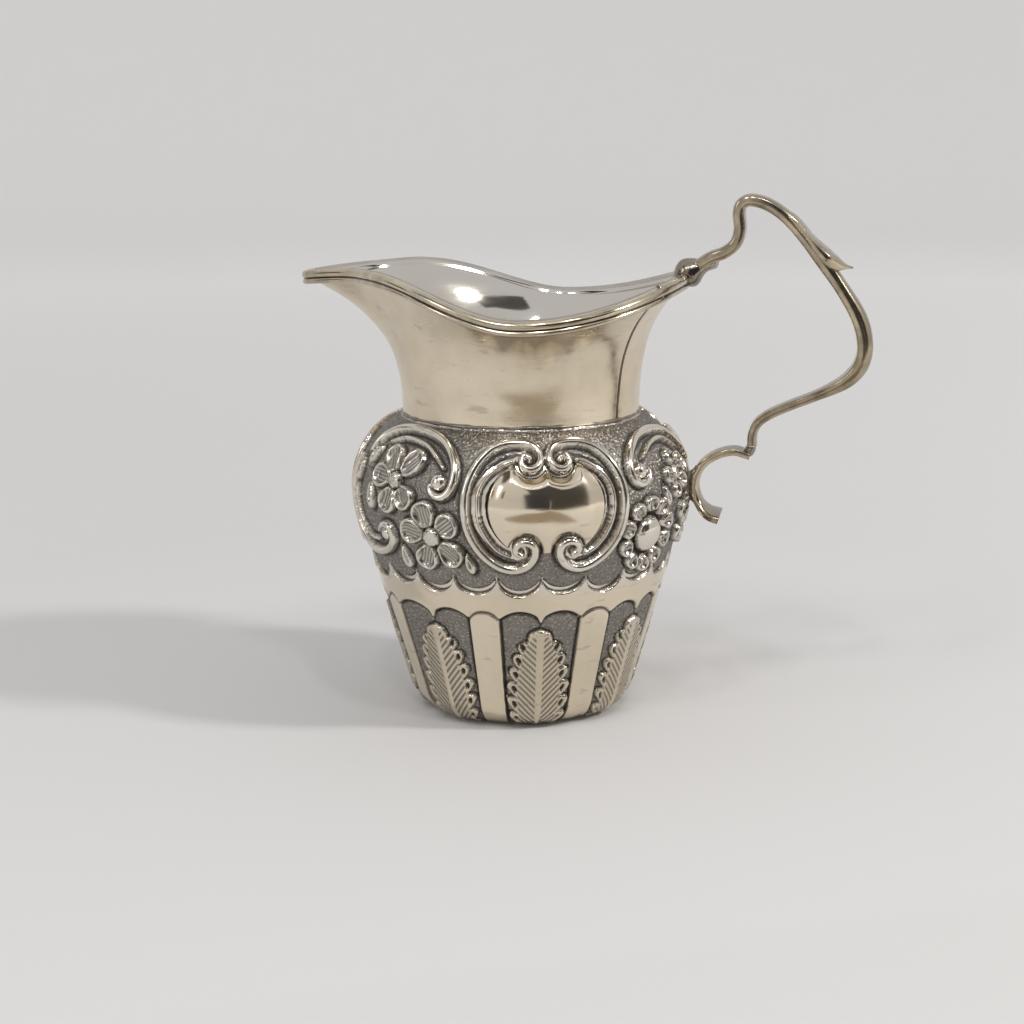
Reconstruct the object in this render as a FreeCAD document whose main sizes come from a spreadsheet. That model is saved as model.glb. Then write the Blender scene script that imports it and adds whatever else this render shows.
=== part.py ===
import FreeCAD, Part
import math
import os
import Sketcher

# A small silver cream jug, in millimetres.
# The origin is the centre of the resting face. +Z is up, the handle is toward +X and the spout toward -X.
# Everything is soldered together, so no piece moves.

doc = FreeCAD.newDocument("cream_jug")
os.makedirs("parts", exist_ok=True)

DIMENSIONS = [
    # chased bulb
    ("belly_radius", 28.0),
    ("belly_height", 38.3),
    ("shoulder_curve", 13.2),
    ("flank_curve", 22.0),
    ("flank_slope", 16.7),
    ("foot_curve", 6.0),
    ("neck_radius", 19.8),
    ("sheet_thickness", 0.7),
    # base
    ("base_thickness", 1.2),
    ("base_solder_width", 1.6),
    # collar
    ("collar_thickness", 0.7),
    ("mouth_radius", 27.4),
    ("mouth_shift", 1.2),
    ("mouth_squareness", 1.0),
    ("spout_length", 9.1),
    ("spout_half_angle", 13.0),
    ("rim_low_height", 67.2),
    ("rim_low_place", 4.0),
    ("spout_rise", 6.4),
    ("spout_rise_run", 26.0),
    ("handle_rise", 5.2),
    ("handle_rise_run", 23.3),
    ("tip_droop", 1.1),
    ("seam_width", 0.5),
    ("seam_angle", -28.0),
    ("neck_solder_width", 1.1),
    # rim wire
    ("rim_wire_height", 2.1),
    ("rim_wire_depth", 1.3),
    # handle
    ("strap_width", 5.0),
    ("strap_thickness", 1.3),
    ("leaf_width", 7.0),
    ("leaf_thickness", 0.7),
    ("scroll_width", 4.6),
    ("scroll_thickness", 1.1),
    ("pad_width", 4.2),
    ("pad_height", 6.4),
    ("knuckle_length", 2.6),
    ("knuckle_width", 2.6),
    ("knuckle_depth", 1.6),
]

sheet = doc.addObject("Spreadsheet::Sheet", "dimensions")
for row, (alias, value) in enumerate(DIMENSIONS, start=1):
    sheet.set("A%d" % row, alias)
    sheet.set("B%d" % row, str(value))
    sheet.setAlias("B%d" % row, alias)
doc.recompute()


def size(alias):
    """One driving dimension, read from the sheet."""
    return float(getattr(sheet, alias))


def vector(x, y, z):
    return FreeCAD.Vector(x, y, z)


# Helpers for PartDesign bodies and Part objects


def new_body(name):
    return doc.addObject("PartDesign::Body", name)


def sketch_on(body, plane, name):
    """A sketch on one of the body's own origin planes."""
    sketch = body.newObject("Sketcher::SketchObject", name)
    for feature in body.Origin.OriginFeatures:
        if feature.Role == plane:
            sketch.AttachmentSupport = [(feature, "")]
    sketch.MapMode = "FlatFace"
    return sketch


def part_object(kind, name, expressions, position=(0, 0, 0)):
    """A Part primitive with its sizes bound to the sheet."""
    thing = doc.addObject(kind, name)
    for prop, formula in expressions.items():
        thing.setExpression(prop, formula)
    thing.Placement.Base = vector(*position)
    return thing


def cut(name, base, tools):
    """The base object less each of the tools, as a chain of Part::Cut objects."""
    result = base
    for count, tool in enumerate(tools, start=1):
        last = count == len(tools)
        step = doc.addObject("Part::Cut", name if last else "%s_cut_%d" % (name, count))
        step.Base = result
        step.Tool = tool
        result = step
    return result


# The chased bulb: a thin raised shell, open at the neck and under the foot


def bulb_profile(sketch):
    """Half section of the solid bulb: shoulder arc, belly arc, straight flank and foot arc."""
    belly = size("belly_radius")
    height = size("belly_height")
    shoulder = size("shoulder_curve")
    flank = size("flank_curve")
    slope = math.radians(size("flank_slope"))
    foot = size("foot_curve")
    neck = size("neck_radius")

    shoulder_centre = vector(belly - shoulder, height, 0)
    neck_angle = math.acos((neck - shoulder_centre.x) / shoulder)
    neck_height = height + shoulder * math.sin(neck_angle)
    flank_centre = vector(belly - flank, height, 0)
    flank_top = vector(flank_centre.x + flank * math.cos(slope), height - flank * math.sin(slope), 0)
    # the foot arc touches the flank and the resting plane
    foot_centre_x = flank_top.x - (flank_top.y - foot) * math.tan(slope) - foot / math.cos(slope)
    foot_centre = vector(foot_centre_x, foot, 0)
    flank_foot = vector(foot_centre.x + foot * math.cos(slope), foot - foot * math.sin(slope), 0)
    axis = vector(0, 0, 1)

    def arc(centre, radius, start, end):
        return Part.ArcOfCircle(Part.Circle(centre, axis, radius), start, end)

    outline = [
        arc(shoulder_centre, shoulder, 0, neck_angle),
        arc(flank_centre, flank, -slope, 0),
        Part.LineSegment(flank_foot, flank_top),
        arc(foot_centre, foot, -math.pi / 2, -slope),
        Part.LineSegment(vector(0, 0, 0), vector(foot_centre.x, 0, 0)),
        Part.LineSegment(vector(0, 0, 0), vector(0, neck_height, 0)),
        Part.LineSegment(vector(0, neck_height, 0), vector(neck, neck_height, 0)),
    ]
    sketch.addGeometry(outline, False)
    tie = Sketcher.Constraint
    sketch.addConstraint([
        tie("Tangent", 0, 1, 1, 2),
        tie("Tangent", 1, 1, 2, 2),
        tie("Tangent", 2, 1, 3, 2),
        tie("Tangent", 3, 1, 4, 2),
        tie("Coincident", 4, 1, -1, 1),
        tie("Coincident", 5, 1, 4, 1),
        tie("Coincident", 6, 1, 5, 2),
        tie("Coincident", 6, 2, 0, 2),
        tie("Horizontal", 4),
        tie("Vertical", 5),
        tie("Horizontal", 6),
        tie("Horizontal", 0, 1, 0, 3),
    ])
    bindings = [
        ("Radius", (0,), "shoulder_curve"),
        ("Radius", (1,), "flank_curve"),
        ("Radius", (3,), "foot_curve"),
        ("DistanceX", (-1, 1, 0, 1), "belly_radius"),
        ("DistanceY", (-1, 1, 0, 1), "belly_height"),
        ("DistanceX", (5, 2, 6, 2), "neck_radius"),
    ]
    for kind, picks, alias in bindings:
        index = sketch.addConstraint(tie(kind, *picks, size(alias)))
        sketch.setExpression("Constraints[%d]" % index, "dimensions.%s" % alias)
    index = sketch.addConstraint(tie("Angle", 2, 1, 5, 1, slope))
    sketch.setExpression("Constraints[%d]" % index, "dimensions.flank_slope * 1 deg")
    return neck_height, foot_centre.x


body_shell = new_body("body_shell")
bulb_sketch = sketch_on(body_shell, "XZ_Plane", "bulb_half_section")
NECK_HEIGHT, FOOT_RADIUS = bulb_profile(bulb_sketch)
bulb_turn = body_shell.newObject("PartDesign::Revolution", "bulb_turned")
bulb_turn.Profile = bulb_sketch
bulb_turn.ReferenceAxis = (bulb_sketch, ["V_Axis"])
bulb_turn.Angle = 360
doc.recompute()
for index, face in enumerate(bulb_turn.Shape.Faces, start=1):
    if face.BoundBox.ZMin > NECK_HEIGHT - 0.01:
        TOP_FACE = "Face%d" % index
bulb_hollow = body_shell.newObject("PartDesign::Thickness", "bulb_hollowed")
bulb_hollow.Base = (bulb_turn, [TOP_FACE])
bulb_hollow.setExpression("Value", "dimensions.sheet_thickness")
bulb_hollow.Reversed = True
bulb_hollow.Mode = 0
bulb_hollow.Join = 0
doc.recompute()

def bore_through(body, name, radius_alias, depth, height, upward):
    """A round hole on the body's axis, cut from a sketch at the given height."""
    hole = sketch_on(body, "XY_Plane", name + "_circle")
    hole.AttachmentOffset.Base = vector(0, 0, height)
    hole.addGeometry(Part.Circle(vector(0, 0, 0), vector(0, 0, 1), 1.0), False)
    hole.addConstraint(Sketcher.Constraint("Coincident", 0, 3, -1, 1))
    index = hole.addConstraint(Sketcher.Constraint("Radius", 0, 1.0))
    hole.setExpression("Constraints[%d]" % index, radius_alias)
    pocket = body.newObject("PartDesign::Pocket", name)
    pocket.Profile = hole
    pocket.Length = depth
    pocket.Reversed = upward
    doc.recompute()
    return pocket


# the shoulder's inner edge is trimmed to the bore of the neck, and the foot is open for the base disc
MOUTH_TRIM = 1.5
bore_through(body_shell, "neck_opening", "dimensions.neck_radius - dimensions.collar_thickness",
             MOUTH_TRIM, NECK_HEIGHT, False)
base_row = len(DIMENSIONS) + 1
sheet.set("A%d" % base_row, "base_radius")
sheet.set("B%d" % base_row, str(round(FOOT_RADIUS, 3)))
sheet.setAlias("B%d" % base_row, "base_radius")
doc.recompute()
bore_through(body_shell, "foot_opening", "dimensions.base_radius", 2 * size("base_thickness"), 0, True)


# The base disc, with its solder run inside the foot

base_disc = part_object("Part::Cylinder", "base_disc", {
    "Radius": "dimensions.base_radius",
    "Height": "dimensions.base_thickness",
})
base_solder_blank = part_object("Part::Cone", "base_solder_blank", {
    "Radius1": "dimensions.base_radius + dimensions.base_solder_width",
    "Radius2": "dimensions.base_radius",
    "Height": "dimensions.base_thickness / 2",
}, (0, 0, size("base_thickness") / 2))
base_solder = cut("base_solder", base_solder_blank, [base_disc, body_shell])


# The collar: a flared sheet that changes from a round neck to a wavy mouth with a pinched spout

COLLAR_STATIONS = 72
COLLAR_LEVELS = 9
COLLAR_TOP_LEVEL = 0.985


def rim_height(x):
    """Height of the wavy rim above the resting plane, as seen from the side."""
    place = size("rim_low_place")
    if x >= place:
        return size("rim_low_height") + size("handle_rise") * ((x - place) / size("handle_rise_run")) ** 2
    run = min((place - x) / size("spout_rise_run"), 1.0)
    height = size("rim_low_height") + size("spout_rise") * (3 * run ** 2 - 2 * run ** 3)
    droop_start = place - size("spout_rise_run")
    tip = size("mouth_radius") - size("mouth_shift") + size("mouth_squareness") + size("spout_length")
    droop_run = max(droop_start - x, 0) / (tip + droop_start)
    return height - size("tip_droop") * droop_run ** 2


def rim_radius(angle):
    """Plan radius of the rim at an angle from the handle: a soft square with a narrow spout."""
    mouth = (size("mouth_radius") + size("mouth_shift") * math.cos(angle)
             - size("mouth_squareness") * math.cos(3 * angle))
    off_spout = math.degrees(abs(math.remainder(angle - math.pi, 2 * math.pi)))
    return mouth + size("spout_length") * math.exp(-((off_spout / size("spout_half_angle")) ** 2))


def collar_point(angle, level):
    """A point of the collar's outer surface, with level 0 at the neck and 1 at the rim."""
    rim = rim_radius(angle)
    flare = 0.35 * level ** 1.8 + 0.65 * level ** 3.6
    radius = size("neck_radius") + (rim - size("neck_radius")) * flare
    height = NECK_HEIGHT + (rim_height(rim * math.cos(angle)) - NECK_HEIGHT) * level
    return vector(radius * math.cos(angle), radius * math.sin(angle), height)


def collar_normal(angle, level):
    """Unit normal of the collar's outer surface, pointing out of the jug."""
    step = 0.001
    along = collar_point(angle + step, level) - collar_point(angle - step, level)
    up = collar_point(angle, min(level + step, 1)) - collar_point(angle, max(level - step, 0))
    normal = along.cross(up)
    return normal.normalize()


def patch(grid):
    """A smooth face through a grid of points."""
    surface = Part.BSplineSurface()
    surface.interpolate(grid)
    return surface.toShape()


def sewn_solid(faces):
    """One closed solid from faces that meet edge to edge."""
    shell = Part.Shell(faces)
    shell.sewShape()
    solid = Part.Solid(shell)
    if solid.Volume < 0:
        solid.reverse()
    return solid


def spread(start, end, count):
    """Evenly spaced values from start to end, both included."""
    return [start + (end - start) * index / (count - 1) for index in range(count)]


def collar_sheet(start_angle, end_angle, stations):
    """A piece of the collar's sheet between two angles, from the neck up into the rim wire."""
    angles = spread(math.radians(start_angle), math.radians(end_angle), stations)
    levels = spread(0, COLLAR_TOP_LEVEL, COLLAR_LEVELS)

    def point(angle, level, inset):
        normal = collar_normal(angle, level)
        if level == 0:
            normal = vector(math.cos(angle), math.sin(angle), 0)
        return collar_point(angle, level) - normal * inset

    insets = (0, size("collar_thickness"))
    skins = [patch([[point(angle, level, inset) for level in levels] for angle in angles]) for inset in insets]
    faces = list(skins)
    for outer_edge, inner_edge in zip(skins[0].Edges, skins[1].Edges):
        faces.append(Part.makeRuledSurface(outer_edge, inner_edge))
    return sewn_solid(faces)


def freeform(name, shape):
    """A piece whose hand-raised shape comes from the formulas above."""
    piece = doc.addObject("Part::Feature", name)
    piece.Shape = shape
    return piece


# The sheet is bent round until its two upright edges nearly meet, and a strip of solder closes the gap
half_seam = math.degrees(size("seam_width") / 2 / size("neck_radius"))
seam = size("seam_angle")
neck_collar = freeform("neck_collar", collar_sheet(seam + half_seam, seam + 360 - half_seam, COLLAR_STATIONS))
seam_solder = freeform("seam_solder", collar_sheet(seam - half_seam, seam + half_seam, 3))


# The rim wire, a rounded strip that grips the edge of the collar from outside


def rim_wire_solid():
    """A rounded upright section swept once round the edge of the collar."""
    outward = (size("rim_wire_depth") - size("collar_thickness")) / 2
    spine_points = []
    for angle in spread(0, 2 * math.pi, COLLAR_STATIONS + 1)[:-1]:
        direction = vector(math.cos(angle), math.sin(angle), 0)
        spine_points.append(collar_point(angle, 1) + direction * outward)
    spine = Part.BSplineCurve()
    spine.interpolate(Points=spine_points, PeriodicFlag=True)

    half_width = size("rim_wire_depth") / 2
    half_straight = size("rim_wire_height") / 2 - half_width
    top = spine_points[0] + vector(0, 0, half_straight)
    bottom = spine_points[0] - vector(0, 0, half_straight)
    side = vector(half_width, 0, 0)
    crown = vector(0, 0, half_width)
    profile = Part.Wire([
        Part.Arc(top + side, top + crown, top - side).toShape(),
        Part.LineSegment(top - side, bottom - side).toShape(),
        Part.Arc(bottom - side, bottom - crown, bottom + side).toShape(),
        Part.LineSegment(bottom + side, top + side).toShape(),
    ])
    pipe = Part.BRepOffsetAPI.MakePipeShell(Part.Wire(spine.toShape()))
    pipe.setBiNormalMode(vector(0, 0, 1))
    pipe.add(profile, False, False)
    pipe.build()
    pipe.makeSolid()
    return pipe.shape()


rim_wire = freeform("rim_wire", rim_wire_solid())


# The solder run round the joint of collar and bulb

neck_solder_blank = part_object("Part::Cone", "neck_solder_blank", {
    "Radius1": "dimensions.neck_radius + dimensions.neck_solder_width",
    "Radius2": "dimensions.neck_radius",
    "Height": "dimensions.neck_solder_width",
}, (0, 0, NECK_HEIGHT - size("neck_solder_width") / 2))
neck_plug = part_object("Part::Cylinder", "neck_plug", {
    "Radius": "dimensions.neck_radius",
    "Height": "dimensions.neck_solder_width * 2",
}, (0, 0, NECK_HEIGHT - size("neck_solder_width")))
neck_solder = cut("neck_solder", neck_solder_blank, [neck_plug, body_shell])


# The handle: strips bent on edge, each padded across its width from an outline in the side view

STRAP_ROUTE = [
    (29.6, 74.8), (31.6, 76.1), (33.9, 77.0), (35.7, 78.5), (36.4, 80.8), (36.2, 83.3), (36.6, 84.8),
    (37.9, 85.4), (40.0, 85.0), (42.3, 83.8), (44.5, 81.9), (46.7, 79.4), (49.0, 76.5), (51.3, 73.4),
    (53.4, 70.2), (55.1, 67.2), (56.1, 64.4), (56.4, 61.5), (55.7, 58.9), (53.9, 56.7), (51.4, 55.1),
    (48.4, 53.7), (44.7, 52.2), (41.5, 50.7), (39.6, 49.2), (38.8, 47.4), (38.7, 45.4),
]
LEAF_ROUTE = [(42.7, 84.6), (45.0, 82.7), (47.3, 80.2), (49.5, 77.7), (51.6, 75.9), (54.6, 75.0)]
SCROLL_ROUTE = [
    (37.8, 44.2), (35.6, 44.5), (32.8, 43.7), (30.4, 41.8), (29.3, 38.8), (30.0, 35.8), (31.6, 33.9), (33.6, 33.2),
]


def strip_outline(route, thickness):
    """Closed outline of a strip: two smooth sides offset from the route, joined by straight ends."""
    middle = Part.BSplineCurve()
    middle.interpolate([vector(x, z, 0) for x, z in route])
    sides = []
    for side in (0.5, -0.5):
        points = []
        for x, z in route:
            place = middle.parameter(vector(x, z, 0))
            along = middle.tangent(place)[0]
            points.append(vector(x, z, 0) + vector(-along.y, along.x, 0) * (thickness * side))
        curve = Part.BSplineCurve()
        curve.interpolate(points)
        sides.append(curve)
    ends = [Part.LineSegment(sides[0].value(sides[0].FirstParameter), sides[1].value(sides[1].FirstParameter)),
            Part.LineSegment(sides[0].value(sides[0].LastParameter), sides[1].value(sides[1].LastParameter))]
    return sides + ends


def strip_body(name, route, thickness_alias, width_alias):
    """A bent strip: its side outline padded evenly to both sides of the jug's middle plane."""
    body = new_body(name)
    sketch = sketch_on(body, "XZ_Plane", name + "_side")
    sketch.addGeometry(strip_outline(route, size(thickness_alias)), False)
    for index in range(4):
        sketch.addConstraint(Sketcher.Constraint("Block", index))
    pad = body.newObject("PartDesign::Pad", name + "_strip")
    pad.Profile = sketch
    pad.SideType = "Symmetric"
    pad.setExpression("Length", "dimensions.%s" % width_alias)
    doc.recompute()
    return body



handle_strap = strip_body("handle_strap", STRAP_ROUTE, "strap_thickness", "strap_width")
lower_scroll = strip_body("lower_scroll", SCROLL_ROUTE, "scroll_thickness", "scroll_width")
leaf_blank = strip_body("leaf_blank", LEAF_ROUTE, "leaf_thickness", "leaf_width")
thumb_leaf = cut("thumb_leaf", leaf_blank, [handle_strap])


# The cast terminal that sits over the rim and holds the top of the strap

rim_end = collar_point(0, 1)
knuckle_blank = part_object("Part::Ellipsoid", "knuckle_blank", {
    "Radius1": "dimensions.knuckle_depth",
    "Radius2": "dimensions.knuckle_length",
    "Radius3": "dimensions.knuckle_width",
}, (rim_end.x + 2.0, 0, rim_end.z + 2.0))
knuckle_blank.Placement.Rotation = FreeCAD.Rotation(vector(0, 1, 0), -35)
rim_knuckle = cut("rim_knuckle", knuckle_blank, [rim_wire, handle_strap])


# The solder in the notch, where the strap meets the top of the C-scroll

notch_x = (STRAP_ROUTE[-1][0] + SCROLL_ROUTE[0][0]) / 2
notch_z = (STRAP_ROUTE[-1][1] + SCROLL_ROUTE[0][1]) / 2
notch_blank = part_object("Part::Cylinder", "notch_blank", {
    "Radius": "dimensions.scroll_thickness",
    "Height": "dimensions.scroll_width",
}, (notch_x, size("scroll_width") / 2, notch_z))
notch_blank.Placement.Rotation = FreeCAD.Rotation(vector(1, 0, 0), 90)
notch_solder = cut("notch_solder", notch_blank, [handle_strap, lower_scroll])


# The small bridge between the bulb and the back of the C-scroll

bridge_start = size("belly_radius") - size("sheet_thickness") * 0.7
pad_blank = part_object("Part::Box", "pad_blank", {
    "Length": "dimensions.scroll_thickness * 1.5",
    "Width": "dimensions.pad_width",
    "Height": "dimensions.pad_height",
}, (bridge_start, -size("pad_width") / 2, size("belly_height") - size("pad_height") / 2))
body_pad = cut("body_pad", pad_blank, [body_shell, lower_scroll])

doc.recompute()

PIECES = {
    "body_shell": body_shell,
    "base_disc": base_disc,
    "base_solder": base_solder,
    "neck_collar": neck_collar,
    "seam_solder": seam_solder,
    "neck_solder": neck_solder,
    "rim_wire": rim_wire,
    "rim_knuckle": rim_knuckle,
    "handle_strap": handle_strap,
    "thumb_leaf": thumb_leaf,
    "lower_scroll": lower_scroll,
    "notch_solder": notch_solder,
    "body_pad": body_pad,
}

for thing in doc.Objects:
    if "Invalid" in thing.State or "Error" in thing.State:
        raise RuntimeError("failed feature: %s %s" % (thing.Name, thing.State))

for name, piece in PIECES.items():
    piece.Label = name
    shape = piece.Shape
    if shape.isNull() or not shape.isValid() or shape.Volume <= 0:
        raise RuntimeError("bad shape: %s" % name)
    print("%-14s solids %d volume %8.2f z %6.2f to %6.2f x %6.2f to %6.2f" % (
        name, len(shape.Solids), shape.Volume, shape.BoundBox.ZMin, shape.BoundBox.ZMax,
        shape.BoundBox.XMin, shape.BoundBox.XMax))
    shape.exportStep("parts/%s.step" % name)
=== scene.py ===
import bpy
import math
import numpy as np
from mathutils import Matrix, Vector


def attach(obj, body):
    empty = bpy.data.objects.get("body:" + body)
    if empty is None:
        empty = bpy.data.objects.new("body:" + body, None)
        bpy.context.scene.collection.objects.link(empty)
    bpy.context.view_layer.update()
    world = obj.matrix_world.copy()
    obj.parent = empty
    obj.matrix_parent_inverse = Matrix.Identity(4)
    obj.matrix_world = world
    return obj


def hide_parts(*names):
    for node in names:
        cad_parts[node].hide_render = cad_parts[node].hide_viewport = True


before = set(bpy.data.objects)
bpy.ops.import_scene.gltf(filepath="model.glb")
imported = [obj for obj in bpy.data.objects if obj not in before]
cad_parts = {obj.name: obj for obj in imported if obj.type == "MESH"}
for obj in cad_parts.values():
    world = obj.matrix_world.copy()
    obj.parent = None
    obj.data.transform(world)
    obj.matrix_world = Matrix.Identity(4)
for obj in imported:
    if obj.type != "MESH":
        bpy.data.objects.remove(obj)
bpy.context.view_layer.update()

MM = 0.001
RANDOM = np.random.default_rng(455)

# The bulb's outline in millimetres, as in the CAD: arcs at shoulder, belly and foot, and a straight flank.
BELLY_RADIUS = 28.0
BELLY_HEIGHT = 38.3
SHOULDER_CURVE = 13.2
FLANK_CURVE = 22.0
FLANK_SLOPE = math.radians(16.7)
FOOT_CURVE = 6.0
NECK_RADIUS = 19.8
SHEET = 0.7

NECK_ANGLE = math.acos((NECK_RADIUS - (BELLY_RADIUS - SHOULDER_CURVE)) / SHOULDER_CURVE)
NECK_HEIGHT = BELLY_HEIGHT + SHOULDER_CURVE * math.sin(NECK_ANGLE)
FLANK_TOP_R = BELLY_RADIUS - FLANK_CURVE * (1 - math.cos(FLANK_SLOPE))
FLANK_TOP_Z = BELLY_HEIGHT - FLANK_CURVE * math.sin(FLANK_SLOPE)
FLANK_RUN = (FLANK_TOP_Z - FOOT_CURVE) * math.tan(FLANK_SLOPE)
FOOT_R = FLANK_TOP_R - FLANK_RUN - FOOT_CURVE / math.cos(FLANK_SLOPE)
FLANK_FOOT_R = FOOT_R + FOOT_CURVE * math.cos(FLANK_SLOPE)
FLANK_FOOT_Z = FOOT_CURVE - FOOT_CURVE * math.sin(FLANK_SLOPE)

SHOULDER_END = SHOULDER_CURVE * NECK_ANGLE
BELLY_END = SHOULDER_END + FLANK_CURVE * FLANK_SLOPE
FLANK_END = BELLY_END + math.hypot(FLANK_TOP_R - FLANK_FOOT_R, FLANK_TOP_Z - FLANK_FOOT_Z)
FOOT_END = FLANK_END + FOOT_CURVE * (math.pi / 2 - FLANK_SLOPE)


def bulb_outline(s):
    """Radius, height and outward normal (radial, upward) of the bulb at a way s down from the neck."""
    s = np.asarray(s, float)
    along = s - BELLY_END
    zones = [s < SHOULDER_END, s < BELLY_END, s < FLANK_END]
    leans = [NECK_ANGLE - s / SHOULDER_CURVE, -(s - SHOULDER_END) / FLANK_CURVE, -FLANK_SLOPE]
    lean = np.select(zones, leans, -FLANK_SLOPE - (s - FLANK_END) / FOOT_CURVE)
    out, up = np.cos(lean), np.sin(lean)
    radii = [
        BELLY_RADIUS - SHOULDER_CURVE * (1 - out),
        BELLY_RADIUS - FLANK_CURVE * (1 - out),
        FLANK_TOP_R - along * math.sin(FLANK_SLOPE),
    ]
    radius = np.select(zones, radii, FOOT_R + FOOT_CURVE * out)
    heights = [
        BELLY_HEIGHT + SHOULDER_CURVE * up,
        BELLY_HEIGHT + FLANK_CURVE * up,
        FLANK_TOP_Z - along * math.cos(FLANK_SLOPE),
    ]
    height = np.select(zones, heights, FOOT_CURVE + FOOT_CURVE * up)
    return radius, height, out, up


# The relief is a height map over the bulb, in millimetres. Across, u is the angle times the belly's radius.
# Down, s is the way from the neck. An angle of 0 faces -Y and +90 degrees is the handle.
COLUMNS = 880
ROWS = 280
GIRTH = 2 * math.pi * BELLY_RADIUS


def smooth(x, low, high):
    """0 below low, 1 above high, and a smooth step between."""
    t = np.clip((x - low) / (high - low), 0, 1)
    return t * t * (3 - 2 * t)


def bell(x, width):
    """1 at 0, falling off smoothly on both sides."""
    return np.exp(-((x / width) ** 2))


def round_top(x, radius):
    """A half circle's height at x, as a fraction of its radius; 0 outside it."""
    return np.sqrt(np.clip(1 - (x / radius) ** 2, 0, 1))


def curve_through(points, count=90):
    """A smooth line through the points (a Catmull-Rom spline)."""
    p = np.array(points, float)
    p = np.vstack([2 * p[0] - p[1], p, 2 * p[-1] - p[-2]])
    spans = len(p) - 3
    t = np.linspace(0, spans, count, endpoint=True)
    i = np.minimum(t.astype(int), spans - 1)
    f = (t - i)[:, None]
    a, b, c, d = p[i], p[i + 1], p[i + 2], p[i + 3]
    square = 2 * a - 5 * b + 4 * c - d
    cube = 3 * b - a - 3 * c + d
    return 0.5 * (2 * b + (c - a) * f + square * f ** 2 + cube * f ** 3)


class Relief:
    """The bulb's height map with its masks, and the tools that raise and sink it."""

    def __init__(self):
        self.u = (np.arange(COLUMNS) / COLUMNS - 0.5) * GIRTH
        self.s = np.linspace(0, FOOT_END, ROWS)
        shape = (ROWS, COLUMNS)
        self.height = np.zeros(shape)
        self.matt = np.zeros(shape)
        self.dark = np.zeros(shape)
        # below the scallops the metal is painted warmer, partly its own tone and partly a painted reflection
        # of the warm floor and room
        self.warm = np.zeros(shape) + smooth(self.s, 27.5, 31.0)[:, None]

    def window(self, u0, s_low, s_high, reach):
        """Index arrays and local coordinates of the part of the map within reach of u0."""
        rows = np.where((self.s >= s_low) & (self.s <= s_high))[0]
        du = (self.u - u0 + GIRTH / 2) % GIRTH - GIRTH / 2
        cols = np.where(np.abs(du) <= reach)[0]
        pick = np.ix_(rows, cols)
        x, y = np.meshgrid(du[cols], self.s[rows])
        return pick, x, y

    def set_to(self, pick, level, where):
        """Brings the map to a level, in proportion to a mask."""
        self.height[pick] = self.height[pick] * (1 - where) + level * where

    def polish(self, pick, where):
        """Makes a place smooth and bright again, and clears its painted shade and dirt."""
        self.matt[pick] *= 1 - where
        self.dark[pick] *= 1 - where

    def darken(self, pick, amount):
        """Paints shade and dirt into a place, at least to an amount."""
        self.dark[pick] = np.maximum(self.dark[pick], amount)

    def raise_dome(self, pick, distance, radius, height):
        """Lifts a round top of a given radius and height where it stands above the map."""
        base = self.height[pick]
        top = height * round_top(distance, radius)
        self.height[pick] = np.where(distance < radius, np.maximum(base, top), base)

    def groove(self, pick, distance, width, depth, darkness):
        """A rounded line of a given half-width, sunk and darkened with painted shade and dirt."""
        shape = bell(distance, width)
        self.height[pick] -= depth * shape
        self.darken(pick, darkness * shape)

    def ridge(self, u0, points, width, height, taper=0.4, flip=1):
        """A rounded raised line along a smooth route, thinner at its ends."""
        line = curve_through(points)
        line[:, 0] *= flip
        reach = np.abs(line[:, 0]).max() + 3
        pick, x, y = self.window(u0, line[:, 1].min() - 3, line[:, 1].max() + 3, reach)
        best = np.full(x.shape, 99.0)
        along = np.zeros(x.shape)
        for k in range(len(line) - 1):
            a, b = line[k], line[k + 1]
            step = b - a
            t = np.clip(((x - a[0]) * step[0] + (y - a[1]) * step[1]) / max(step @ step, 1e-9), 0, 1)
            d = np.hypot(x - a[0] - t * step[0], y - a[1] - t * step[1])
            closer = d < best
            best[closer] = d[closer]
            along[closer] = (k + t[closer]) / (len(line) - 1)
        half = width * (1 - taper * np.abs(2 * along - 1) ** 4)
        # a groove of painted shade and dirt runs along each side of the ridge
        self.groove(pick, np.clip(best - half, 0, None), 0.60, 0.25, 0.92)
        self.raise_dome(pick, best, half, height)
        self.polish(pick, smooth(half - best, -0.12, 0.12))


relief = Relief()


def flat_ground(s_low, s_high, level):
    """Sinks and matts the whole ground between two ways down."""
    rows = (relief.s >= s_low) & (relief.s <= s_high)
    relief.height[rows] = level
    relief.matt[rows] = 1


GROUND = -0.30
FLORAL_LOW = 0.35
SCALLOPS = 22
CUSP_S = 26.6
LOBE_DEPTH = 3.0
CARTOUCHE_ANGLE = 18.5
LEAF_ANGLE = 17.3
SECTORS = 8


def at_angle(degrees):
    """The u of an angle round the bulb."""
    return BELLY_RADIUS * math.radians(degrees)


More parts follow.
